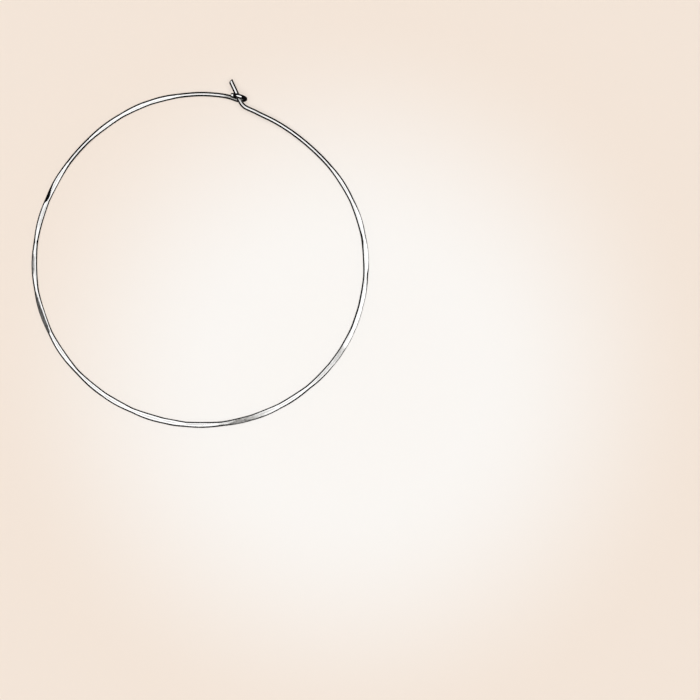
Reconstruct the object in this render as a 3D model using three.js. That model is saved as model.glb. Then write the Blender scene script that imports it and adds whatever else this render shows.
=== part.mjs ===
// Hammered wire hoop earring with a hook-and-eye clasp, made from one length of round wire.
// Millimetres. The hoop lies on its side: its axis is +Z, its clasp is towards +Y, and the flat
// underside that the anvil left on the hammered arc is at Z = 0.
// Angles round the hoop are in degrees, clockwise from +Y as seen from above.

import * as THREE from 'three';

// ---------------------------------------------------------------- driving dimensions

const WIRE_DIAMETER = 0.82;
const HOOP_RADIUS = 29.6; // mean radius of the wire's centreline
const EYE_RISE = 1.05; // half the height between the eye's lower and upper strand
const WIRE_SIDES = 16;
const STEP_ALONG_HOOP = 1.0; // spacing of the sections on the hoop
const STEP_AT_CLASP = 0.28; // spacing of the sections on the hook and the eye
const BLOW_SPREAD = 0.012; // how fast a hammer mark gets shallower along the wire, per mm

const HOOK_STRETCH = 2.2; // length of wire in the bend between the post and the hoop
const EYE_STRETCH = 6.5; // length of wire in the eye and the dip that leads to it
const ROUTE_DIVISIONS = 4000; // fineness of the arc-length table
const SILVER = 0xd9d8d4;

const WIRE_RADIUS = WIRE_DIAMETER / 2;
const WIRE_AREA = Math.PI * WIRE_RADIUS ** 2;

// The hand-bent outline: how far the centreline stands outside the mean radius.
const OUTLINE = [
  { at: 22, out: -1.04 },
  { at: 28, out: -1.09 },
  { at: 34, out: -1.11 },
  { at: 40, out: -1.08 },
  { at: 46, out: -0.97 },
  { at: 52, out: -0.77 },
  { at: 58, out: -0.54 },
  { at: 64, out: -0.34 },
  { at: 70, out: -0.17 },
  { at: 76, out: -0.01 },
  { at: 84, out: 0.14 },
  { at: 92, out: 0.24 },
  { at: 100, out: 0.31 },
  { at: 110, out: 0.4 },
  { at: 118, out: 0.43 },
  { at: 126, out: 0.38 },
  { at: 136, out: 0.26 },
  { at: 148, out: 0.08 },
  { at: 160, out: -0.06 },
  { at: 172, out: -0.2 },
  { at: 184, out: -0.26 },
  { at: 194, out: -0.29 },
  { at: 204, out: -0.24 },
  { at: 216, out: -0.12 },
  { at: 228, out: 0.0 },
  { at: 240, out: 0.13 },
  { at: 252, out: 0.18 },
  { at: 262, out: 0.18 },
  { at: 272, out: 0.12 },
  { at: 284, out: 0.01 },
  { at: 296, out: -0.09 },
  { at: 306, out: -0.1 },
  { at: 316, out: -0.06 },
  { at: 324, out: 0.03 },
  { at: 332, out: 0.17 },
  { at: 340, out: 0.32 },
  { at: 348, out: 0.39 },
  { at: 356, out: 0.43 },
  { at: 362, out: 0.49 },
  { at: 369, out: 0.47 },
];

// The hammer's blows: the middle of each mark, the thickness that it leaves, and its roll, which
// is positive where the mark slopes down towards the outside of the hoop.
const BLOWS = [
  { at: 62, thick: 0.63, roll: 2 },
  { at: 75, thick: 0.58, roll: 3 },
  { at: 88, thick: 0.56, roll: 5 },
  { at: 101, thick: 0.6, roll: 5 },
  { at: 110, thick: 0.6, roll: 6 },
  { at: 119, thick: 0.57, roll: 6 },
  { at: 130, thick: 0.6, roll: 9 },
  { at: 147, thick: 0.55, roll: 5 },
  { at: 158, thick: 0.5, roll: 3 },
  { at: 178, thick: 0.58, roll: 0 },
  { at: 189, thick: 0.51, roll: 1 },
  { at: 197, thick: 0.49, roll: 1 },
  { at: 211, thick: 0.54, roll: 0 },
  { at: 219, thick: 0.57, roll: 0 },
  { at: 237, thick: 0.56, roll: 3 },
  { at: 252, thick: 0.58, roll: 14 },
  { at: 268, thick: 0.6, roll: 3 },
  { at: 286, thick: 0.58, roll: 3 },
  { at: 298, thick: 0.57, roll: 4 },
  { at: 326, thick: 0.6, roll: 2 },
  { at: 338, thick: 0.57, roll: 3 },
  { at: 346, thick: 0.6, roll: 3 },
];
const HAMMERED_FROM = 51;
const HAMMERED_TO = 353;
const FADE_DEGREES = 3; // over which the anvil's flat runs out into round wire at either end

// The hook: a straight post, seen from above, and the bend that joins it to the hoop.
const POST_TIP = new THREE.Vector2(5.53, 32.47);
const POST_FOOT = new THREE.Vector2(7.33, 28.6);
const HOOK_BEND = [
  { x: 7.53, y: 28.26 },
  { x: 7.78, y: 27.97 },
  { x: 8.09, y: 27.73 },
  { x: 8.43, y: 27.54 },
  { x: 9.13, y: 27.24 },
  { x: 9.84, y: 26.92 },
];
const POST_HEIGHT = WIRE_RADIUS + EYE_RISE;
const NIPPED_TIP_SLANT = 24; // degrees that the cut end is off square
const HOOK_RISES_FROM = 54; // angle on the hoop where the hook side starts to lift
const HOOK_LEVEL_FROM = 19; // angle on the hoop where it has reached the post's height

// The eye: the far arm dips under the post, curls up past it and comes back over it.
// "turn" goes round the eye from its lowest point, "reach" is the sideways distance from the
// eye's middle, "up" is the distance towards the post's tip, and "rise" is the height gained.
const EYE_MIDDLE = new THREE.Vector2(6.84, 29.0);
const EYE_SKEW = 17; // degrees that the eye is turned clockwise from straight across
const EYE = [
  { turn: -40, reach: 1.36, up: 0.06, rise: 0 },
  { turn: 0, reach: 1.2, up: 0.0, rise: 0 },
  { turn: 36, reach: 1.2, up: 0.22, rise: 0.2 },
  { turn: 68, reach: 1.24, up: 0.44, rise: 0.76 },
  { turn: 100, reach: 1.24, up: 0.57, rise: 1.36 },
  { turn: 140, reach: 1.2, up: 0.65, rise: 1.89 },
  { turn: 180, reach: 1.2, up: 0.67, rise: 2.08 },
  { turn: 205, reach: 1.22, up: 0.63, rise: 2.0 },
  { turn: 222, reach: 1.26, up: 0.57, rise: 1.76 },
  { turn: 250, reach: 1.52, up: 0.41, rise: 1.69 },
];

// ---------------------------------------------------------------- the wire's route

const radians = THREE.MathUtils.degToRad;

function onHoop(angle, radius, height) {
  return new THREE.Vector3(radius * Math.sin(radians(angle)), radius * Math.cos(radians(angle)), height);
}

// The hook side leaves the floor slowly, so that the post passes through the middle of the eye.
function hoopHeight(angle) {
  const lift = THREE.MathUtils.smoothstep(HOOK_RISES_FROM - angle, 0, HOOK_RISES_FROM - HOOK_LEVEL_FROM);
  return WIRE_RADIUS + EYE_RISE * lift;
}

function hookPoints() {
  const tip = new THREE.Vector3(POST_TIP.x, POST_TIP.y, POST_HEIGHT);
  const foot = new THREE.Vector3(POST_FOOT.x, POST_FOOT.y, POST_HEIGHT);
  const post = [0, 0.35, 0.7, 1].map((share) => tip.clone().lerp(foot, share));
  const bend = HOOK_BEND.map((row) => new THREE.Vector3(row.x, row.y, POST_HEIGHT));
  return [...post, ...bend];
}

function hoopPoints() {
  return OUTLINE.map((row) => onHoop(row.at, HOOP_RADIUS + row.out, hoopHeight(row.at)));
}

function eyePoints() {
  const across = new THREE.Vector2(Math.cos(radians(EYE_SKEW)), -Math.sin(radians(EYE_SKEW)));
  const along = new THREE.Vector2(Math.sin(radians(EYE_SKEW)), Math.cos(radians(EYE_SKEW)));
  return EYE.map((row) => {
    const side = row.reach * Math.sin(radians(row.turn));
    const flat = EYE_MIDDLE.clone().addScaledVector(across, side).addScaledVector(along, row.up);
    return new THREE.Vector3(flat.x, flat.y, WIRE_RADIUS + row.rise);
  });
}

// Distances along the wire at which it is given a section: close together at the clasp.
function sectionPlaces(curve) {
  const length = curve.getLength();
  const hoopStarts = POST_TIP.distanceTo(POST_FOOT) + HOOK_STRETCH;
  const hoopEnds = length - EYE_STRETCH;
  const spread = (from, to, step) => {
    const count = Math.round((to - from) / step);
    return Array.from({ length: count }, (_, i) => from + ((to - from) * i) / count);
  };
  const places = [
    ...spread(0, hoopStarts, STEP_AT_CLASP),
    ...spread(hoopStarts, hoopEnds, STEP_ALONG_HOOP),
    ...spread(hoopEnds, length, STEP_AT_CLASP),
    length,
  ];
  return places.map((place) => place / length);
}

// The curve may not dip below the wire's own radius, where it lies on the surface.
function onSurface(point) {
  return point.setZ(Math.max(point.z, WIRE_RADIUS));
}

// A section's axes: forward along the wire, up (+Z all round the flat hoop) and out.
function sectionFrames(curve) {
  const shares = sectionPlaces(curve);
  const frames = shares.map((share) => ({
    centre: onSurface(curve.getPointAt(share)),
    forward: curve.getTangentAt(share),
    up: new THREE.Vector3(0, 0, 1),
  }));
  const middle = Math.floor(frames.length / 2);
  const carry = (from, to) => {
    frames[to].up.copy(frames[from].up).addScaledVector(
      frames[to].forward, -frames[from].up.dot(frames[to].forward)).normalize();
  };
  for (let i = middle; i < frames.length; i += 1) carry(i - 1, i);
  for (let i = middle - 2; i >= 0; i -= 1) carry(i + 1, i);
  for (const frame of frames) frame.out = new THREE.Vector3().crossVectors(frame.up, frame.forward);
  return frames;
}

// ---------------------------------------------------------------- the hammered section

function hoopAngle(point) {
  const angle = THREE.MathUtils.radToDeg(Math.atan2(point.x, point.y));
  return angle < 0 ? angle + 360 : angle;
}

// Where a section stands on the hammered arc: 0 on the round wire at the clasp, 1 on the arc.
function hammered(angle) {
  const fromHook = THREE.MathUtils.smoothstep(angle, HAMMERED_FROM, HAMMERED_FROM + FADE_DEGREES);
  const fromEye = THREE.MathUtils.smoothstep(-angle, -HAMMERED_TO, FADE_DEGREES - HAMMERED_TO);
  return Math.min(fromHook, fromEye);
}

// The height, over the wire's centre, of each hammer mark's face at a place on the section.
function markHeight(blow, angle, side) {
  const distance = radians(angle - blow.at) * HOOP_RADIUS;
  const middle = blow.thick - WIRE_RADIUS + BLOW_SPREAD * distance ** 2;
  return middle - Math.tan(radians(blow.roll)) * side;
}

function topHeight(angle, side) {
  const share = hammered(angle);
  const marked = Math.min(WIRE_RADIUS, ...BLOWS.map((blow) => markHeight(blow, angle, side)));
  return THREE.MathUtils.lerp(WIRE_RADIUS, marked, share);
}

// Hammering spreads the wire sideways: the section keeps its area as it gets thinner.
function widthAt(thickness) {
  return (WIRE_AREA - (Math.PI / 4) * thickness ** 2) / thickness + thickness;
}

// A round wire that has spread, and is cut off flat by the anvil below and the marks above.
function sectionPoints(frame) {
  const angle = hoopAngle(frame.centre);
  const thickness = topHeight(angle, 0) + WIRE_RADIUS;
  const halfWidth = widthAt(thickness) / 2;
  const middle = (thickness - WIRE_DIAMETER) / 2;
  return Array.from({ length: WIRE_SIDES }, (_, i) => {
    const turn = (2 * Math.PI * (i + 0.5)) / WIRE_SIDES;
    const side = halfWidth * Math.cos(turn);
    const round = middle + WIRE_RADIUS * Math.sin(turn);
    const rise = THREE.MathUtils.clamp(round, -WIRE_RADIUS, topHeight(angle, side));
    return frame.centre.clone().addScaledVector(frame.out, side).addScaledVector(frame.up, rise);
  });
}

// ---------------------------------------------------------------- the lofted solid

// The post's cut end is nipped at a slant, so its sections there are sheared along the wire.
function nipTip(ring, frame) {
  const slope = Math.tan(radians(NIPPED_TIP_SLANT));
  for (const point of ring) {
    const side = point.clone().sub(frame.centre).dot(frame.out);
    point.addScaledVector(frame.forward, -side * slope);
  }
}

function loft(rings) {
  const sides = WIRE_SIDES;
  const points = rings.flat();
  const faces = [];
  for (let r = 0; r + 1 < rings.length; r += 1) {
    for (let s = 0; s < sides; s += 1) {
      const a = r * sides + s;
      const b = r * sides + ((s + 1) % sides);
      faces.push(a, b, b + sides, a, b + sides, a + sides);
    }
  }
  const first = points.length;
  const last = first + 1;
  points.push(centreOf(rings[0]), centreOf(rings[rings.length - 1]));
  const lastRing = (rings.length - 1) * sides;
  for (let s = 0; s < sides; s += 1) {
    const next = (s + 1) % sides;
    faces.push(first, next, s);
    faces.push(last, lastRing + s, lastRing + next);
  }
  const geometry = new THREE.BufferGeometry();
  geometry.setAttribute('position', new THREE.Float32BufferAttribute(points.flatMap((p) => p.toArray()), 3));
  geometry.setIndex(faces);
  geometry.computeVertexNormals();
  return geometry;
}

function centreOf(ring) {
  return ring.reduce((sum, point) => sum.add(point), new THREE.Vector3()).divideScalar(ring.length);
}

function hoopWire() {
  const route = [...hookPoints(), ...hoopPoints(), ...eyePoints()];
  const curve = new THREE.CatmullRomCurve3(route, false, 'centripetal');
  curve.arcLengthDivisions = ROUTE_DIVISIONS;
  const frames = sectionFrames(curve);
  const rings = frames.map(sectionPoints);
  nipTip(rings[0], frames[0]);
  const material = new THREE.MeshStandardMaterial({ color: SILVER, metalness: 1, roughness: 0.18 });
  const wire = new THREE.Mesh(loft(rings), material);
  wire.name = 'hoop_wire';
  return wire;
}

// ---------------------------------------------------------------- the part

// The origin is under the middle of the whole part's outline, on the surface that it lies on.
const earring = new THREE.Group();
const wire = hoopWire();
const box = new THREE.Box3().setFromObject(wire, true);
const middle = box.getCenter(new THREE.Vector3());
wire.position.set(-middle.x, -middle.y, -box.min.z);
earring.add(wire);

export default earring;
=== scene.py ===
"""The looks of a hammered wire hoop earring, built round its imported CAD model.

The wire is made as a silversmith makes it: drawn straight, nipped, hammered flat on an anvil,
then bent round into the hoop, its hook and its eye. Tables are in millimetres and degrees.
Angles round the hoop run clockwise from its top, +Y, seen from above.
"""

from math import radians, pi

import bmesh
import bpy
import numpy as np
from bpy.props import FloatProperty, FloatVectorProperty, IntProperty, PointerProperty
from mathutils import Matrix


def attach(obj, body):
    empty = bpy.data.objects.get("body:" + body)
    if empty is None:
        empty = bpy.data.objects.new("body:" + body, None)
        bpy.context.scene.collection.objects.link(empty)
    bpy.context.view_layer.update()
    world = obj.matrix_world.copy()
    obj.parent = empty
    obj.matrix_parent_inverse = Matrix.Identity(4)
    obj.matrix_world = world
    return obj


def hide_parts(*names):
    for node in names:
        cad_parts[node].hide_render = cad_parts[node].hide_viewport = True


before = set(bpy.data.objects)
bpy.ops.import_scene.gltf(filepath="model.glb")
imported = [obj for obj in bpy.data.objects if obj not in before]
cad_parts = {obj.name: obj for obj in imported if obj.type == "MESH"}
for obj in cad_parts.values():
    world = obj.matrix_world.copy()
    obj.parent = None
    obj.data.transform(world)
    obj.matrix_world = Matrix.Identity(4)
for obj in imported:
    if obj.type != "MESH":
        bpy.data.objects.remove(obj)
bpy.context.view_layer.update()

bl_info = {
    "name": "Hammered hoop earring",
    "version": (1, 0, 0),
    "blender": (4, 5, 0),
    "location": "3D View > Sidebar > Earring",
    "description": "Makes a hammered silver wire hoop with a hook-and-eye clasp, and its studio",
    "category": "Object",
}

MM = 0.001
END_CUTS = 4  # extra sections in each space near the eye's cut end
SWEEP_STEPS = 12  # flat steps in the backdrop's curve
HOOD_HEIGHT_SHARE = 0.97  # the camera's hood hangs just under the softbox

# ---------------------------------------------------------------- the hoop's own sizes, mm

HOOP_RADIUS = 29.6
HOOP_MIDDLE = (-0.0431, -1.4782)  # where the hoop's centre stands in the CAD frame
EYE_RISE = 1.05  # half the height between the eye's lower and upper strand

# How far the hand-bent centreline stands outside the mean radius.
OUTLINE = (
    # at, out
    (22, -1.04), (28, -1.09), (34, -1.11), (40, -1.08), (46, -0.97), (52, -0.77),
    (58, -0.54), (64, -0.34), (70, -0.17), (76, -0.01), (84, 0.14), (92, 0.24),
    (100, 0.31), (110, 0.40), (118, 0.43), (126, 0.38), (136, 0.26), (148, 0.08),
    (160, -0.06), (172, -0.20), (184, -0.26), (194, -0.29), (204, -0.24), (216, -0.12),
    (228, 0.0), (240, 0.13), (252, 0.18), (262, 0.18), (272, 0.12), (284, 0.01),
    (296, -0.09), (306, -0.10), (316, -0.06), (324, 0.03), (332, 0.17), (340, 0.32),
    (348, 0.39), (356, 0.43), (362, 0.49), (369, 0.47),
)

# Seen from above: the straight post and the bend that joins it to the hoop.
POST_TIP = (5.53, 32.47)
POST_FOOT = (7.33, 28.60)
HOOK_BEND = ((7.53, 28.26), (7.78, 27.97), (8.09, 27.73), (8.43, 27.54), (9.13, 27.24), (9.84, 26.92))
HOOK_RISES_FROM = 54
HOOK_LEVEL_FROM = 19

# The eye dips under the post, curls up past it and comes back over it to its cut end.
EYE_MIDDLE = (6.84, 29.0)
EYE_SKEW = 17
EYE = (
    # turn, reach, up, rise
    (-40, 1.36, 0.06, 0.0), (0, 1.20, 0.0, 0.0), (36, 1.20, 0.22, 0.20), (68, 1.24, 0.44, 0.76),
    (100, 1.24, 0.57, 1.36), (140, 1.20, 0.65, 1.89), (180, 1.20, 0.67, 2.08), (205, 1.22, 0.63, 2.0),
    (222, 1.26, 0.57, 1.76), (250, 1.52, 0.41, 1.69),
)

# The hammer's flat marks: the middle of each, the thickness left there, its roll, positive where it
# slopes down to the outside, its crown, as slope gained across the wire per mm, and how fast it
# gets shallower along the wire, per mm. A level mark looks grey and a rolled one white.
HAMMERED_FROM, HAMMERED_TO, FADE = 51, 353, 3
SHOULDER = 0.03  # how softly a mark's edge rounds over, mm
MARKS = (
    # at, thick, roll, crown, spread
    (62, 0.63, 4, 0.7, 0.012), (75, 0.58, 9, 0.1, 0.012), (88, 0.56, 8, 0.1, 0.012),
    (101, 0.60, 9, 0.1, 0.012), (110, 0.60, 10, 0.1, 0.012), (119, 0.57, 7, 0.2, 0.012),
    (124, 0.585, 2, 0.2, 0.012), (132, 0.59, 2, 0.4, 0.012), (147, 0.55, 1, 0.8, 0.012),
    (157, 0.50, 2, 0.5, 0.012), (164, 0.55, 0, 0.3, 0.012), (180, 0.57, 2, 0.6, 0.010),
    (190, 0.51, 1, 0.8, 0.020), (197, 0.49, -1, 0.8, 0.012), (211, 0.54, -3, 0.7, 0.012),
    (219, 0.57, 2, 0.9, 0.012), (237, 0.56, 2, 0.6, 0.012), (252, 0.58, -2, 0.5, 0.012),
    (268, 0.60, 2, 0.6, 0.012), (286, 0.58, 2, 0.4, 0.012), (298, 0.57, -5, 0.5, 0.012),
    (326, 0.60, 4, 0.8, 0.012), (338, 0.57, 4, 0.7, 0.012), (346, 0.60, 5, 0.7, 0.012),
)

# How square the section's two edges were left, from 1, a full round belly, up to 2.4, nearly square.
# Up to BELLY_LIMIT an edge stays within the round wire it was hammered from.
BELLY_LIMIT = 1.45
EDGES = (
    # at, outer, inner
    (51, 1.00, 1.00), (60, 1.10, 1.00), (66, 1.10, 1.05), (70, 1.18, 1.08), (72, 1.40, 1.10),
    (74, 1.72, 1.10), (76, 1.72, 1.15), (78, 1.50, 1.12), (80, 1.68, 1.05), (84, 1.90, 1.05),
    (87, 2.00, 1.15), (92, 1.80, 1.10), (94, 1.05, 1.02), (96, 1.15, 1.05), (98, 1.50, 1.08),
    (100, 1.80, 1.10), (104, 2.10, 1.10), (110, 2.40, 1.12), (114, 2.10, 1.10), (118, 2.20, 1.15),
    (122, 1.65, 1.15), (128, 1.85, 1.15), (131, 1.35, 1.10), (138, 1.08, 1.05), (143, 1.10, 1.10),
    (150, 1.38, 1.20), (157, 1.40, 1.30), (162, 1.20, 1.25), (168, 1.00, 1.10), (174, 1.00, 1.02),
    (179, 1.15, 1.08), (185, 1.15, 1.12), (190, 1.25, 1.25), (198, 1.24, 1.28), (206, 1.12, 1.08),
    (212, 1.20, 1.16), (218, 1.22, 1.12), (224, 1.06, 1.10), (230, 1.02, 1.02), (237, 1.22, 1.12),
    (243, 1.10, 1.08), (252, 1.15, 1.40), (260, 1.05, 1.05), (268, 1.15, 1.15), (276, 1.15, 1.06),
    (283, 1.20, 1.10), (287, 1.25, 1.25), (292, 1.28, 1.20), (297, 1.10, 1.40), (301, 1.22, 1.35),
    (304, 1.08, 1.05), (310, 1.00, 1.00), (320, 1.00, 1.00), (332, 1.15, 1.00), (342, 1.20, 1.08),
    (349, 1.08, 1.02), (353, 1.00, 1.00),
)

# Glancing blows down the outer edge. Each starts at a place on the wire's width, from 0 at its
# middle to 1 at its outer edge, or less than 0 on its inner half, and falls away at an angle.
CHARCOAL_BLOW = (
    # at, start
    (243.7, 1.0), (244.4, 0.3), (245.2, -0.25), (248, -0.35), (251, -0.38), (253.5, -0.3), (256, -0.15),
    (258, 0.05), (260, 0.3), (263, 1.0))
LENS_BLOW = (
    (263.6, 1.0), (265.0, 0.35), (267.0, 0.0), (269.5, -0.12), (271.5, 0.0), (273.3, 0.35), (275.0, 1.0))
BLACK_BLOW = (
    (289.9, 1.0), (290.8, 0.4), (291.7, 0.0), (292.6, -0.35), (293.6, -0.32), (294.5, -0.02),
    (295.5, 0.2), (296.5, 0.35), (297.5, 0.5), (298.8, 1.0))
STREAKED_BLOW = (
    (160.5, 1.0), (162, 0.45), (164, -0.1), (166, -0.5), (167.5, -0.5), (168.6, -0.1), (170, 0.3),
    (172.5, 1.0))
# A blow's scuffing also darkens the colour of its face as painted shade.
EDGE_BLOWS = (
    # fall, scuffing, start along the wire
    (13, 1.0, STREAKED_BLOW), (20, 1.0, CHARCOAL_BLOW), (14, 0.75, LENS_BLOW), (38, 0.0, BLACK_BLOW),
)

# The cutters left a small flat on top of the eye's cut end: how far back from the cut it reaches
# and its height over the middle of the cut, in mm, and how steeply it climbs, in degrees.
END_FLAT_REACH, END_FLAT_HEIGHT, END_FLAT_CLIMB = 0.4, 0.39, 8
END_ZONE = 1.0  # nothing further than this from the cut is touched

# ---------------------------------------------------------------- how its finish is worn, and where shade is painted on it

# How scuffed the worn hammer left the top; the same amount also darkens the colour there as painted
# shade.
SCUFFED = (
    # at, amount
    (120.0, 0.0), (121.5, 0.6), (126, 0.45), (128, 0.35), (134, 0.3), (137, 0.0), (152, 0.0),
    (157, 0.3), (161, 0.7), (166, 1.0), (168.5, 0.5), (173, 0.4), (174.5, 0.0), (281, 0.0),
    (283, 0.3), (289, 0.3), (290.5, 0.0),
)

# Where the clasp's other wires crowd the wire: polish doesn't reach there, so it is rougher, and its
# colour is darkened as painted shade between the wires. The lengths over which that comes and goes,
# counted back from the eye's cut end, and on from the post's tip.
CROWDED_IN_EYE = (8.3, 7.3, 3.5, 2.5)
CROWDED_IN_HOOK = (2.0, 3.2, 4.6, 6.0)

# Grain sizes of the finish's marks, in mm along, across and through the straight wire.
DRAWN_LINES = (6.0, 0.05, 0.05)
HAMMER_GRAIN = (0.55, 0.3, 0.3)
SCUFFS = (0.9, 0.06, 0.2)
TARNISH_PATCHES = (2.5, 0.8, 0.8)


# ---------------------------------------------------------------- the wire's route

def smooth_step(value, low, high):
    share = np.clip((value - low) / (high - low), 0, 1)
    return share * share * (3 - 2 * share)


def hook_points(wire_radius):
    height = wire_radius + EYE_RISE
    tip, foot = np.array(POST_TIP), np.array(POST_FOOT)
    post = [tip + (foot - tip) * share for share in (0, 0.35, 0.7, 1)]
    return [(x, y, height) for x, y in [*post, *HOOK_BEND]]


def hoop_points(wire_radius):
    points = []
    for at, out in OUTLINE:
        lift = smooth_step(HOOK_RISES_FROM - at, 0, HOOK_RISES_FROM - HOOK_LEVEL_FROM)
        radius, turn = HOOP_RADIUS + out, radians(at)
        points.append((radius * np.sin(turn), radius * np.cos(turn), wire_radius + EYE_RISE * lift))
    return points


def eye_points(wire_radius):
    skew = radians(EYE_SKEW)
    across = np.array((np.cos(skew), -np.sin(skew)))
    along = np.array((np.sin(skew), np.cos(skew)))
    points = []
    for turn, reach, up, rise in EYE:
        flat = EYE_MIDDLE + across * reach * np.sin(radians(turn)) + along * up
        points.append((flat[0], flat[1], wire_radius + rise))
    return points


def smooth_curve(points, steps=40):
    """A centripetal Catmull-Rom curve through the points."""
    p = np.array(points)
    p = np.vstack((2 * p[0] - p[1], p, 2 * p[-1] - p[-2]))
    knots = np.concatenate(([0], np.cumsum(np.linalg.norm(np.diff(p, axis=0), axis=1) ** 0.5)))
    pieces = []
    for i in range(1, len(p) - 2):
        t0, t1, t2, t3 = knots[i - 1:i + 3]
        t = np.linspace(t1, t2, steps, endpoint=False)[:, None]
        a1 = (t1 - t) / (t1 - t0) * p[i - 1] + (t - t0) / (t1 - t0) * p[i]
        a2 = (t2 - t) / (t2 - t1) * p[i] + (t - t1) / (t2 - t1) * p[i + 1]
        a3 = (t3 - t) / (t3 - t2) * p[i + 1] + (t - t2) / (t3 - t2) * p[i + 2]
        b1 = (t2 - t) / (t2 - t0) * a1 + (t - t0) / (t2 - t0) * a2
        b2 = (t3 - t) / (t3 - t1) * a2 + (t - t1) / (t3 - t1) * a3
        pieces.append((t2 - t) / (t2 - t1) * b1 + (t - t1) / (t2 - t1) * b2)
    return np.vstack((*pieces, p[-2][None, :]))


class Route:
    """The bent wire's centreline, with its axes: forward along it, up and out, by length."""

    STEP = 0.02  # mm between samples
    SOFTEN = 16  # samples over which kinks between the table's rows are eased

    def __init__(self, wire_radius):
        bends = (hook_points, hoop_points, eye_points)
        rough = smooth_curve([point for bend in bends for point in bend(wire_radius)])
        run = np.concatenate(([0], np.cumsum(np.linalg.norm(np.diff(rough, axis=0), axis=1))))
        self.length = run[-1]
        self.place = np.linspace(0, self.length, int(self.length / self.STEP))
        centre = np.stack([np.interp(self.place, run, rough[:, k]) for k in range(3)], 1)
        centre = self.eased(centre)
        centre[:, 2] = np.maximum(centre[:, 2], wire_radius)
        forward = np.gradient(centre, self.place, axis=0)
        forward /= np.linalg.norm(forward, axis=1)[:, None]
        self.centre, self.forward, self.up = centre, forward, self.carried_up(forward)
        self.out = np.cross(self.up, forward)
        angle = np.degrees(np.arctan2(centre[:, 0], centre[:, 1]))
        self.angle = np.where(angle < 0, angle + 360, angle)

    def eased(self, centre):
        reach = np.arange(-3 * self.SOFTEN, 3 * self.SOFTEN + 1)
        weight = np.exp(-0.5 * (reach / self.SOFTEN) ** 2)
        weight /= weight.sum()
        pad = len(reach) // 2
        ends = (2 * centre[0] - centre[pad:0:-1], centre, 2 * centre[-1] - centre[-2:-pad - 2:-1])
        longer = np.vstack(ends)
        return np.stack([np.convolve(longer[:, k], weight, "valid") for k in range(3)], 1)

    @staticmethod
    def carried_up(forward):
        """+Z on the flat hoop, carried without twist into the hook and the eye."""
        up = np.tile((0.0, 0.0, 1.0), (len(forward), 1))
        middle = len(forward) // 2
        for way in (range(middle + 1, len(forward)), range(middle - 1, -1, -1)):
            last = up[middle]
            for i in way:
                last = last - forward[i] * (last @ forward[i])
                last = last / np.linalg.norm(last)
                up[i] = last
        return up

    def at(self, place, field):
        values = getattr(self, field)
        found = np.stack([np.interp(place, self.place, values[:, k]) for k in range(3)], 1)
        if field == "centre":  # the slanting tip runs on a little past the start
            past_tip = np.minimum(place, 0)[:, None]
            found = found + past_tip * self.forward[0]
        return found

    def angle_at(self, place):
        return np.interp(place, self.place, self.angle)


# ---------------------------------------------------------------- making the wire

def only(piece):
    bpy.ops.object.select_all(action="DESELECT")
    piece.select_set(True)
    bpy.context.view_layer.objects.active = piece


def select_edges(piece, wanted):
    """Edit mode, edge selection: selects the edges for which wanted(edge) is true."""
    bpy.ops.mesh.select_mode(type="EDGE")
    bpy.ops.mesh.select_all(action="DESELECT")
    shape = bmesh.from_edit_mesh(piece.data)
    for edge in shape.edges:
        edge.select_set(wanted(edge))
    shape.select_flush_mode()
    bmesh.update_edit_mesh(piece.data)


def runs_lengthwise(edge):
    a, b = (vert.co for vert in edge.verts)
    return abs(a.x - b.x) > 10 * abs(a.y - b.y) + 10 * abs(a.z - b.z)


def on_cut_rim(edge):
    """True round a cut end, where the end's one many-sided face meets the wire's sides."""
    return sum(len(face.verts) > 4 for face in edge.link_faces) == 1


def draw_straight_wire(settings, length):
    """Round wire along +X, from a slanting cut at 0 to its length, with both rims filed round."""
    spare = settings.diameter
    bpy.ops.object.select_all(action="DESELECT")
    bpy.ops.mesh.primitive_cylinder_add(
        vertices=settings.sides, radius=settings.diameter / 2, depth=length + spare,
        end_fill_type="NGON", location=((length - spare) / 2, 0, 0), rotation=(0, pi / 2, 0))
    wire = bpy.context.object
    bpy.ops.object.transform_apply(location=True, rotation=True, scale=True)
    bpy.ops.object.mode_set(mode="EDIT")
    select_edges(wire, runs_lengthwise)
    bpy.ops.mesh.subdivide(number_cuts=settings.lengths - 1)
    bpy.ops.mesh.select_all(action="SELECT")
    slant = settings.tip_slant
    bpy.ops.mesh.bisect(
        plane_co=(0, 0, 0), plane_no=(np.cos(slant), np.sin(slant), 0), use_fill=True, clear_inner=True)
    select_edges(wire, on_cut_rim)
    bpy.ops.mesh.bevel(offset=settings.filed_rim, segments=6)
    select_edges(wire, runs_lengthwise)
    bpy.ops.mesh.subdivide(number_cuts=settings.sections_in_each - 1)
    near_end = length - settings.diameter
    select_edges(wire, lambda edge: runs_lengthwise(edge) and edge.verts[0].co.x > near_end)
    bpy.ops.mesh.subdivide(number_cuts=END_CUTS)
    bpy.ops.object.mode_set(mode="OBJECT")
    return wire


def read_points(mesh):
    points = np.empty(len(mesh.vertices) * 3)
    mesh.vertices.foreach_get("co", points)
    return points.reshape(-1, 3)


def write_points(mesh, points):
    mesh.vertices.foreach_set("co", points.ravel())
    mesh.update()


def keep_as_attribute(mesh, name, kind, field, values):
    layer = mesh.attributes.new(name, kind, "POINT")
    layer.data.foreach_set(field, np.ascontiguousarray(values, dtype=np.float32).ravel())


def hammered_share(angle):
    return np.minimum(
        smooth_step(angle, HAMMERED_FROM, HAMMERED_FROM + FADE),
        1 - smooth_step(angle, HAMMERED_TO - FADE, HAMMERED_TO))


def roof_height(angle, side, radius):
    """How high over the wire's centre the hammered top stands, mm."""
    roof = np.full_like(angle, radius)
    for at, thick, roll, crown, spread in MARKS:
        distance = np.radians(angle - at) * HOOP_RADIUS
        face = thick - radius + spread * distance ** 2
        face = face - np.tan(radians(roll)) * side - crown / 2 * side ** 2
        roof = np.minimum(roof, face)
    flat = hammered_share(angle)
    return radius + (roof - radius) * flat


def from_table(table, angle, column):
    rows = np.array(table)
    return np.interp(angle, rows[:, 0], rows[:, column])


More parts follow.
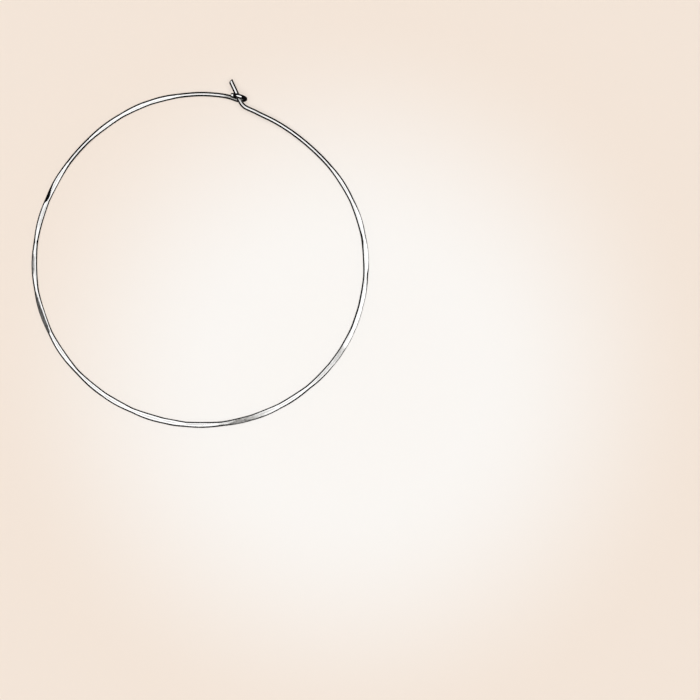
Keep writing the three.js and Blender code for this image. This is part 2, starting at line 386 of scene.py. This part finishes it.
def edge_blows(angle, side, half_width, top):
    """The height, mm, of the steep faces along the outer edge, and how scuffed each is."""
    height, scuffing = np.full_like(angle, np.inf), np.zeros_like(angle)
    for fall, scuffed_and_shade, start in EDGE_BLOWS:
        inside = (angle > start[0][0]) & (angle < start[-1][0])
        begins = half_width * from_table(start, angle, 1)
        face = np.where(inside, top - np.tan(radians(fall)) * (side - begins), np.inf)
        scuffing = np.where(face < height, scuffed_and_shade, scuffing)
        height = np.minimum(height, face)
    return height, scuffing


def eased_under(rise, roof):
    """Presses the round wire down under the roof, leaving a polished shoulder and no sharp edge."""
    too_far_to_matter = 40 * SHOULDER
    gap = np.minimum(np.abs(rise - roof), too_far_to_matter)
    return np.minimum(rise, roof) - SHOULDER * np.log1p(np.exp(-gap / SHOULDER))


def hammer_flat(points, angle, radius):
    """Spreads and flattens the straight wire between hammer and anvil; lengths in mm.

    Also tells how scuffed each point is.
    """
    place, side, rise = points.T
    zero = np.zeros_like(side)
    thickness = roof_height(angle, zero, radius) + radius
    area = pi * radius ** 2
    half_width = ((area - pi / 4 * thickness ** 2) / thickness + thickness) / 2
    outward = smooth_step(side / radius, -0.5, 0.5)
    squareness = from_table(EDGES, angle, 1) * outward + from_table(EDGES, angle, 2) * (1 - outward)
    fullest = radius * np.maximum(1, squareness / BELLY_LIMIT)
    belly = np.where(rise > 0, np.minimum(thickness / 2 * squareness, fullest), radius)
    side = side * half_width / radius
    rise = thickness / 2 - radius + rise / radius * belly
    roof = roof_height(angle, side, radius)
    glancing, glancing_scuffs = edge_blows(angle, side, half_width, roof_height(angle, zero, radius))
    scuffs = np.where(glancing < roof, glancing_scuffs, from_table(SCUFFED, angle, 1))
    roof = np.minimum(roof, glancing)
    rise = eased_under(rise, np.where(roof < radius, roof, np.inf))
    rise = np.maximum(rise, -radius)
    return np.stack((place, side, rise), 1), scuffs


def bend_round(points, route):
    """Bends the straight, hammered wire round its route; lengths in mm."""
    place, side, rise = points.T
    bent = route.at(place, "centre")
    bent = bent + route.at(place, "out") * side[:, None] + route.at(place, "up") * rise[:, None]
    return bent + np.array((*HOOP_MIDDLE, 0.0))


def nip_end_flat(points, place, route):
    """The small flat that the cutters leave on top of the eye's cut end; lengths in mm."""
    offset = points - route.centre[-1] - np.array((*HOOP_MIDDLE, 0.0))
    level_way = route.forward[-1][:2] / np.linalg.norm(route.forward[-1][:2])
    back = -offset[:, :2] @ level_way
    flat = END_FLAT_HEIGHT + np.tan(radians(END_FLAT_CLIMB)) * back
    nipped = (place > route.length / 2) & (back < END_FLAT_REACH) & (np.abs(offset).max(1) < END_ZONE)
    height = np.where(nipped, np.minimum(offset[:, 2], flat), offset[:, 2])
    return np.column_stack((points[:, :2], height + route.centre[-1][2]))


def crowding_and_painted_shade(place, route):
    """How closely the wire's other stretches crowd it: rougher where polish doesn't reach, and darkened
    there as painted shade.
    """
    def between(value, comes_from, all_there, starts_to_go, gone):
        return smooth_step(value, comes_from, all_there) * (1 - smooth_step(value, starts_to_go, gone))

    in_eye = between(place - route.length, *(-back for back in CROWDED_IN_EYE))
    in_hook = between(place, *CROWDED_IN_HOOK)
    return np.maximum(in_eye, 0.5 * in_hook)


def make_wire(settings, finish):
    radius = settings.diameter / 2 / MM
    route = Route(radius)
    wire = draw_straight_wire(settings, route.length * MM)
    straight = read_points(wire.data) / MM
    angle = route.angle_at(straight[:, 0])
    keep_as_attribute(wire.data, "straight_wire", "FLOAT_VECTOR", "vector", straight * MM)
    keep_as_attribute(wire.data, "hammered", "FLOAT", "value", hammered_share(angle))
    keep_as_attribute(wire.data, "crowded_dull_and_shade", "FLOAT", "value", crowding_and_painted_shade(straight[:, 0], route))
    hammered, scuffs = hammer_flat(straight, angle, radius)
    keep_as_attribute(wire.data, "scuffed_and_shade", "FLOAT", "value", scuffs)
    bent = nip_end_flat(bend_round(hammered, route), straight[:, 0], route)
    write_points(wire.data, bent * MM)
    only(wire)
    bpy.ops.object.shade_smooth_by_angle(angle=settings.crease_angle)
    wire.name = wire.data.name = "hammered_hoop"
    wire.data.materials.append(silver(finish))
    return wire


# ---------------------------------------------------------------- the silver

class Recipe:
    """Adds nodes to a material and links them, a value or another node's socket at a time."""

    def __init__(self, name):
        self.material = bpy.data.materials.new(name)
        self.material.use_nodes = True
        self.nodes, self.links = self.material.node_tree.nodes, self.material.node_tree.links
        self.shader = self.nodes["Principled BSDF"]

    def fill(self, socket, value):
        if isinstance(value, bpy.types.NodeSocket):
            self.links.new(value, socket)
        else:
            socket.default_value = value

    def node(self, kind, output=0, **inputs):
        node = self.nodes.new("ShaderNode" + kind)
        for name, value in inputs.items():
            self.fill(node.inputs[name.replace("_", " ")], value)
        return node.outputs[output]

    def math(self, operation, *values):
        node = self.nodes.new("ShaderNodeMath")
        node.operation = operation
        for socket, value in zip(node.inputs, values):
            self.fill(socket, value)
        return node.outputs[0]

    def attribute(self, name, output):
        node = self.nodes.new("ShaderNodeAttribute")
        node.attribute_name = name
        return node.outputs[output]

    def noise(self, place, stretch, detail=3.0, rough=0.55):
        """Noise from 0 to 1 over a place in metres, with its grain sizes in mm along x, y and z."""
        scaled = self.node("Mapping", Vector=place, Scale=[1 / (size * MM) for size in stretch])
        return self.node("TexNoise", Vector=scaled, Scale=1.0, Detail=detail, Roughness=rough)

    def spread(self, value, low, high, to_low, to_high):
        node = self.nodes.new("ShaderNodeMapRange")
        for socket, given in zip(node.inputs, (value, low, high, to_low, to_high)):
            self.fill(socket, given)
        return node.outputs[0]

    def blend(self, share, first, second):
        """Goes from the first colour to the second."""
        node = self.nodes.new("ShaderNodeMix")
        node.data_type = "RGBA"
        self.fill(node.inputs["Factor"], share)
        colours = [socket for socket in node.inputs if socket.type == "RGBA"]
        colours[0].default_value, colours[1].default_value = (*first, 1), (*second, 1)
        return next(socket for socket in node.outputs if socket.type == "RGBA")

    def bump(self, height, depth, normal=None):
        """Relief of the given depth in mm."""
        node = self.nodes.new("ShaderNodeBump")
        node.inputs["Distance"].default_value = depth * MM
        self.fill(node.inputs["Height"], height)
        if normal:
            self.fill(node.inputs["Normal"], normal)
        return node.outputs[0]


def silver(finish):
    """Polished sterling wire: drawing lines, the hammer's grain, handling marks and faint tarnish, with
    painted shade darkening its scuffed flats and the crowded wires of the clasp.
    """
    recipe = Recipe("hammered_silver")
    place = recipe.attribute("straight_wire", "Vector")
    hammered = recipe.attribute("hammered", "Fac")
    crowded_dull_and_shade = recipe.attribute("crowded_dull_and_shade", "Fac")
    scuffed_and_shade = recipe.attribute("scuffed_and_shade", "Fac")
    drawing_lines = recipe.noise(place, DRAWN_LINES, detail=2.0)
    hammer_grain = recipe.noise(place, HAMMER_GRAIN, detail=2.0)
    scuffs = recipe.noise(place, SCUFFS, detail=4.0, rough=0.7)
    tarnish = recipe.noise(place, TARNISH_PATCHES, detail=4.0, rough=0.65)

    grain_share = recipe.math("MULTIPLY_ADD", scuffed_and_shade, 2.5, hammered)
    grain_height = recipe.math("MULTIPLY", hammer_grain, grain_share)
    surface = recipe.bump(drawing_lines, finish.line_depth / MM)
    surface = recipe.bump(grain_height, finish.grain_depth / MM, surface)
    surface = recipe.bump(scuffs, finish.scuff_depth / MM, surface)
    recipe.fill(recipe.shader.inputs["Normal"], surface)

    worn = recipe.spread(scuffs, 0.35, 0.75, finish.polish, finish.polish + finish.scuffing)
    worn = recipe.math("MULTIPLY_ADD", scuffed_and_shade, finish.worn_scuffing, worn)
    roughness = recipe.math("MULTIPLY_ADD", crowded_dull_and_shade, 0.12, worn)
    recipe.fill(recipe.shader.inputs["Roughness"], roughness)

    patches = recipe.spread(tarnish, 0.5, 0.8, 0.0, 0.25)
    # Painted shade: scuffed flats are darkened in mottles, standing in for their darker reflections.
    scuff_painted_shade = recipe.spread(hammer_grain, 0.35, 0.65, 0.45, 1.0)
    tarnish_and_shade = recipe.math("MAXIMUM", patches, recipe.math("MULTIPLY", scuffed_and_shade, scuff_painted_shade))
    # Painted shade: the colour is darkened where the clasp's other wires crowd the wire.
    tarnish_and_shade = recipe.math("MAXIMUM", tarnish_and_shade, recipe.math("MULTIPLY", crowded_dull_and_shade, 0.8))
    colour = recipe.blend(tarnish_and_shade, finish.silver, finish.tarnish)
    recipe.fill(recipe.shader.inputs["Base Color"], colour)
    recipe.shader.inputs["Metallic"].default_value = 1.0
    return recipe.material


# ---------------------------------------------------------------- the studio

def table_paint(stage):
    """Matt cream, with a painted pool of light: paler round one place."""
    recipe = Recipe("cream_table")
    place = recipe.node("TexCoord", output="Object")
    reach = recipe.nodes.new("ShaderNodeVectorMath")
    reach.operation = "DISTANCE"
    recipe.fill(reach.inputs[0], place)
    recipe.fill(reach.inputs[1], (*stage.painted_light_pool_middle, 0))
    faded = recipe.nodes.new("ShaderNodeMapRange")
    faded.interpolation_type = "SMOOTHSTEP"
    recipe.fill(faded.inputs["Value"], reach.outputs["Value"])
    recipe.fill(faded.inputs["From Min"], stage.painted_light_pool_from)
    recipe.fill(faded.inputs["From Max"], stage.painted_light_pool_to)
    # Painted pool of light: the table is paler round one middle and deepens to its own colour further
    # out.
    colour = recipe.blend(faded.outputs["Result"], stage.painted_light_pool_colour, stage.table_colour)
    recipe.fill(recipe.shader.inputs["Base Color"], colour)
    recipe.shader.inputs["Roughness"].default_value = 0.9
    recipe.shader.inputs["Specular IOR Level"].default_value = 0.0
    return recipe.material


def table_top(stage):
    """A pale round table whose far rim sweeps up into a backdrop."""
    bpy.ops.object.select_all(action="DESELECT")
    bpy.ops.mesh.primitive_circle_add(vertices=128, radius=stage.table_radius, fill_type="NOTHING")
    table = bpy.context.object
    bpy.ops.object.mode_set(mode="EDIT")
    bpy.ops.mesh.edge_face_add()
    bpy.ops.mesh.inset(thickness=stage.table_radius / 3)
    select_edges(table, lambda edge: edge.is_boundary)
    across = stage.table_radius
    for step in range(1, SWEEP_STEPS + 1):
        lean = radians(90 * (step - 0.5) / SWEEP_STEPS)
        bpy.ops.mesh.extrude_region_move(
            TRANSFORM_OT_translate={"value": (0, 0, stage.sweep / SWEEP_STEPS * np.sin(lean))})
        grown = across + stage.sweep / SWEEP_STEPS * np.cos(lean)
        bpy.ops.transform.resize(value=(grown / across, grown / across, 1))
        across = grown
    bpy.ops.object.mode_set(mode="OBJECT")
    bpy.ops.object.shade_smooth()
    table.name = "table_top"
    table.data.materials.append(table_paint(stage))
    table.visible_glossy = False


def softbox(name, stage, power, seen_in_metal):
    """The overhead disc of light; one that the metal doesn't mirror only brightens the table."""
    light = bpy.data.lights.new(name, "AREA")
    light.shape = "DISK"
    light.size = stage.light_width
    light.energy = power
    light.use_shadow = seen_in_metal
    lamp = bpy.data.objects.new(name, light)
    lamp.location = (0, 0, stage.light_height)
    lamp.visible_camera = False
    lamp.visible_glossy = seen_in_metal
    bpy.context.collection.objects.link(lamp)


def camera_hood(stage):
    """The dim round shape of the camera overhead, which level flats of the wire mirror."""
    bpy.ops.object.select_all(action="DESELECT")
    bpy.ops.mesh.primitive_circle_add(
        vertices=64, radius=stage.hood_width / 2, fill_type="NGON",
        location=(*stage.view_middle, stage.light_height * HOOD_HEIGHT_SHARE))
    hood = bpy.context.object
    hood.name = "camera_hood"
    recipe = Recipe("dim_hood")
    recipe.shader.inputs["Base Color"].default_value = (0, 0, 0, 1)
    recipe.shader.inputs["Specular IOR Level"].default_value = 0.0
    recipe.shader.inputs["Emission Color"].default_value = (1, 1, 1, 1)
    recipe.shader.inputs["Emission Strength"].default_value = stage.hood_glow
    hood.data.materials.append(recipe.material)
    hood.visible_camera = hood.visible_diffuse = hood.visible_shadow = False


def camera(stage):
    """Looks straight down from where its lens takes in the view's width."""
    lens = bpy.data.cameras.new("camera")
    lens.lens = stage.lens
    lens.dof.use_dof = False
    lens.clip_end = 10
    eye = bpy.data.objects.new("camera", lens)
    distance = stage.view_width * stage.lens / lens.sensor_width
    eye.location = (stage.view_middle[0], stage.view_middle[1], distance)
    bpy.context.collection.objects.link(eye)
    bpy.context.scene.camera = eye


def dark_room(stage):
    """The unlit room, which the sides of the wire mirror."""
    world = bpy.data.worlds.new("dark_room")
    world.use_nodes = True
    sky = world.node_tree.nodes["Background"]
    sky.inputs["Color"].default_value = (*stage.room_colour, 1)
    sky.inputs["Strength"].default_value = 1.0
    bpy.context.scene.world = world
    bpy.context.scene.view_settings.view_transform = "Standard"


# ---------------------------------------------------------------- settings

class WireSettings(bpy.types.PropertyGroup):
    """How the wire is drawn and cut."""

    diameter: FloatProperty(
        name="Wire diameter", description="Diameter of the round wire", default=0.00082,
        unit="LENGTH", precision=5)
    sides: IntProperty(
        name="Sides", description="Faces round the wire", default=48, min=16)
    lengths: IntProperty(
        name="Lengths", description="Lengths that the wire is first divided into", default=15, min=2)
    sections_in_each: IntProperty(
        name="Sections in each", description="Sections in each of those lengths", default=100, min=2)
    tip_slant: FloatProperty(
        name="Tip slant", description="How far off square the post's tip is nipped",
        default=radians(24), subtype="ANGLE")
    filed_rim: FloatProperty(
        name="Filed rim", description="Width of the filed rim at both cut ends", default=0.0002,
        unit="LENGTH", precision=5)
    crease_angle: FloatProperty(
        name="Crease angle", description="Edges between faces over this angle stay sharp",
        default=radians(14), subtype="ANGLE")


class FinishSettings(bpy.types.PropertyGroup):
    """How the silver is polished and worn."""

    silver: FloatVectorProperty(
        name="Silver", description="Colour of the bare metal", subtype="COLOR", size=3,
        default=(0.93, 0.925, 0.915), min=0, max=1)
    # The tarnish colour serves for real tarnish patches and also for the painted shade on scuffed flats
    # and where the clasp's wires crowd.
    tarnish: FloatVectorProperty(
        name="Tarnish", description="Colour of tarnished metal", subtype="COLOR", size=3,
        default=(0.32, 0.31, 0.29), min=0, max=1)
    polish: FloatProperty(
        name="Polish", description="Roughness of the polished metal", default=0.06,
        min=0, max=1, subtype="FACTOR")
    scuffing: FloatProperty(
        name="Scuffing", description="Roughness that scuffs add", default=0.12,
        min=0, max=1, subtype="FACTOR")
    worn_scuffing: FloatProperty(
        name="Worn scuffing", description="Roughness that a worn hammer adds", default=0.3,
        min=0, max=1, subtype="FACTOR")
    line_depth: FloatProperty(
        name="Drawing lines", description="Depth of the lines left by drawing the wire",
        default=0.0000008, unit="LENGTH", precision=7)
    grain_depth: FloatProperty(
        name="Hammer grain", description="Depth of the hammer face's own grain",
        default=0.000006, unit="LENGTH", precision=7)
    scuff_depth: FloatProperty(
        name="Scuffs", description="Depth of handling scuffs", default=0.0000012,
        unit="LENGTH", precision=7)


class StageSettings(bpy.types.PropertyGroup):
    """The table, the lights and the camera."""

    table_radius: FloatProperty(
        name="Table radius", description="Radius of the pale table", default=1.2, unit="LENGTH")
    sweep: FloatProperty(
        name="Sweep", description="Length of the backdrop's curve up from the table", default=1.6,
        unit="LENGTH")
    table_colour: FloatVectorProperty(
        name="Table colour", description="Colour of the table", subtype="COLOR", size=3,
        default=(0.785, 0.689, 0.6065), min=0, max=1)
    # The next four settings paint a pool of light on the table, palest at its middle and fading to the
    # table colour.
    painted_light_pool_colour: FloatVectorProperty(
        name="Glow colour", description="Colour of the table where it is palest",
        subtype="COLOR", size=3, default=(0.8375, 0.8176, 0.792), min=0, max=1)
    painted_light_pool_middle: FloatVectorProperty(
        name="Glow middle", description="Where the table is palest", size=2,
        default=(0.0269, -0.0225), unit="LENGTH")
    painted_light_pool_from: FloatProperty(
        name="Glow from", description="How far from there the table starts to deepen", default=0.022,
        unit="LENGTH")
    painted_light_pool_to: FloatProperty(
        name="Glow to", description="How far from there it has its full colour", default=0.067,
        unit="LENGTH")
    room_colour: FloatVectorProperty(
        name="Room colour", description="Colour of the dark room round the lights",
        subtype="COLOR", size=3, default=(0.004, 0.004, 0.004), min=0, max=1)
    light_height: FloatProperty(
        name="Light height", description="Height of the overhead softbox", default=1.3, unit="LENGTH")
    light_width: FloatProperty(
        name="Light width", description="Diameter of the overhead softbox", default=1.62, unit="LENGTH")
    light_power: FloatProperty(
        name="Light power", description="Power of the overhead softbox", default=8.0, unit="POWER")
    wash_power: FloatProperty(
        name="Wash power", description="Power of the light that brightens the table alone",
        default=20.4, unit="POWER")
    hood_width: FloatProperty(
        name="Hood width", description="Width of the camera's dim shape overhead", default=0.36,
        unit="LENGTH")
    hood_glow: FloatProperty(
        name="Hood glow", description="Brightness of the camera's shape, the softbox being about 1",
        default=0.72, min=0)
    lens: FloatProperty(
        name="Lens", description="Focal length of the camera's lens", default=300,
        unit="CAMERA")
    view_width: FloatProperty(
        name="View width", description="Width of the table that the picture takes in",
        default=0.12578, unit="LENGTH", precision=5)
    view_middle: FloatVectorProperty(
        name="View middle", description="Point on the table under the camera", size=2,
        default=(0.026915, -0.017360), unit="LENGTH", precision=5)


# ---------------------------------------------------------------- operators and panel

class EARRING_OT_wire(bpy.types.Operator):
    """Make the hammered silver wire, bent into the hoop, its hook and its eye"""

    bl_idname = "earring.wire"
    bl_label = "Hammered hoop"

    def execute(self, context):
        scene = context.scene
        wire = make_wire(scene.earring_wire, scene.earring_finish)
        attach(wire, "root")
        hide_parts("hoop_wire")
        return {"FINISHED"}


class EARRING_OT_stage(bpy.types.Operator):
    """Set the pale table, the overhead light and the camera above it"""

    bl_idname = "earring.stage"
    bl_label = "Studio"

    def execute(self, context):
        stage = context.scene.earring_stage
        table_top(stage)
        softbox("overhead_softbox", stage, stage.light_power, seen_in_metal=True)
        softbox("table_wash", stage, stage.wash_power, seen_in_metal=False)
        camera_hood(stage)
        dark_room(stage)
        camera(stage)
        return {"FINISHED"}


class EARRING_PT_sidebar(bpy.types.Panel):
    """The earring's settings and its two makers"""

    bl_label = "Hoop earring"
    bl_idname = "EARRING_PT_sidebar"
    bl_space_type = "VIEW_3D"
    bl_region_type = "UI"
    bl_category = "Earring"

    def draw(self, context):
        scene = context.scene
        groups = (
            (scene.earring_wire, EARRING_OT_wire), (scene.earring_finish, None),
            (scene.earring_stage, EARRING_OT_stage))
        for settings, operator in groups:
            box = self.layout.box()
            for name in settings.__annotations__:
                box.prop(settings, name)
            if operator:
                box.operator(operator.bl_idname)


CLASSES = (
    WireSettings, FinishSettings, StageSettings,
    EARRING_OT_wire, EARRING_OT_stage, EARRING_PT_sidebar,
)


def register():
    for kind in CLASSES:
        bpy.utils.register_class(kind)
    bpy.types.Scene.earring_wire = PointerProperty(type=WireSettings)
    bpy.types.Scene.earring_finish = PointerProperty(type=FinishSettings)
    bpy.types.Scene.earring_stage = PointerProperty(type=StageSettings)


def unregister():
    del bpy.types.Scene.earring_stage
    del bpy.types.Scene.earring_finish
    del bpy.types.Scene.earring_wire
    for kind in reversed(CLASSES):
        bpy.utils.unregister_class(kind)


def main():
    register()
    bpy.ops.earring.wire()
    bpy.ops.earring.stage()


if __name__ == "__main__":
    main()
